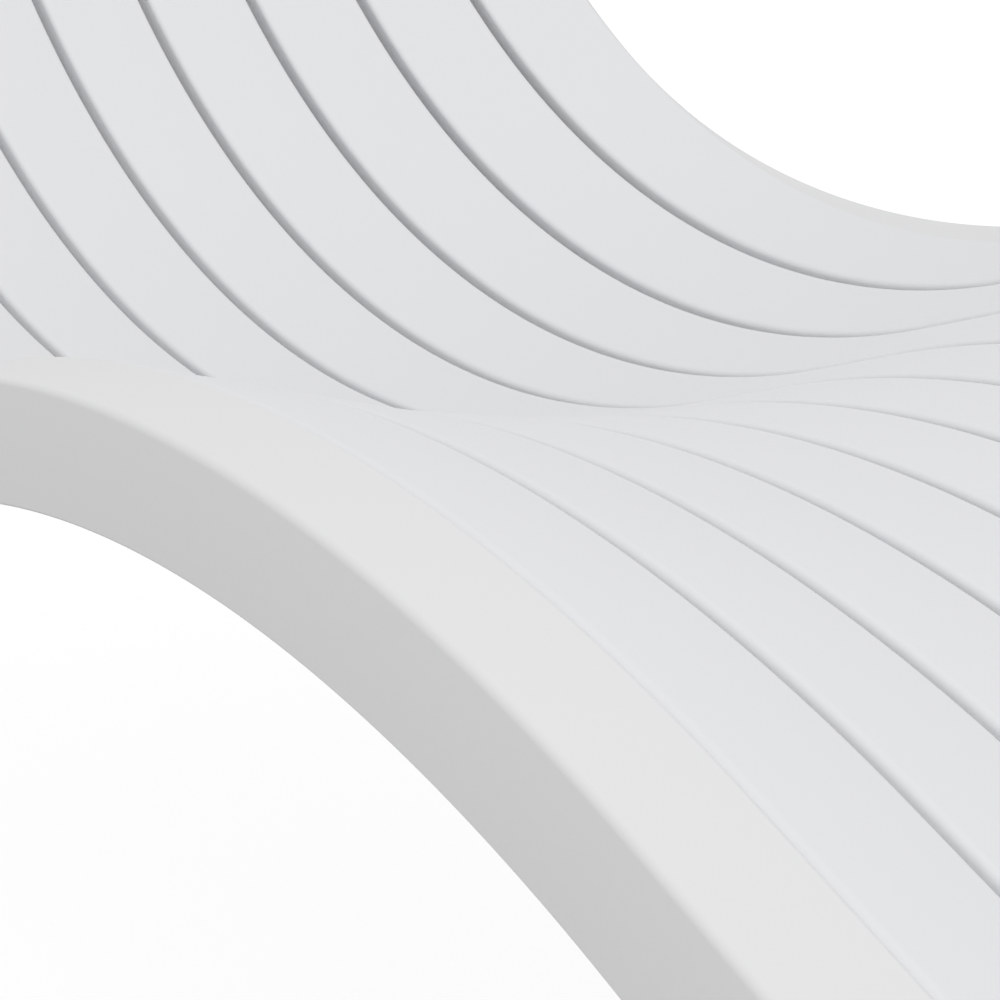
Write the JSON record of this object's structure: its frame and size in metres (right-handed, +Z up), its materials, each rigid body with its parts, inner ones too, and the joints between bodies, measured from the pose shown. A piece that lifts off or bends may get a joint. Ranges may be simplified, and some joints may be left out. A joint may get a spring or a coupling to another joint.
{
  "type": "sun lounger",
  "caption": "Wave-shaped sun lounger with a dished deck of lengthwise moulded slats between two side rails, on four short legs.",
  "frame": {"origin": "on the floor, under the middle of the lounger's box", "axes": "+X towards the foot end, +Y towards the sitter's left, +Z up"},
  "size_m": [1.882, 0.6764, 0.832],
  "materials": {
    "slat": "satin moulded white resin",
    "rail": "satin moulded white resin",
    "bearer": "satin moulded white resin, underside",
    "leg": "satin moulded white resin",
    "glide": "grey moulded foot pad"
  },
  "bodies": {
    "root": {"slat_01": "slat", "slat_02": "slat", "slat_03": "slat", "slat_04": "slat", "slat_05": "slat", "slat_06": "slat", "slat_07": "slat", "slat_08": "slat", "slat_09": "slat", "slat_10": "slat", "side_rail_right": "rail", "side_rail_left": "rail", "end_rail_head": "rail", "end_rail_foot": "rail", "bearer_head": "bearer", "bearer_back": "bearer", "bearer_seat": "bearer", "bearer_thigh": "bearer", "bearer_calf": "bearer", "bearer_foot": "bearer", "leg_front_right": "leg", "leg_front_left": "leg", "leg_rear_right": "leg", "leg_rear_left": "leg", "glide_front_right": "glide", "glide_front_left": "glide", "glide_rear_right": "glide", "glide_rear_left": "glide"}
  },
  "joints": []
}
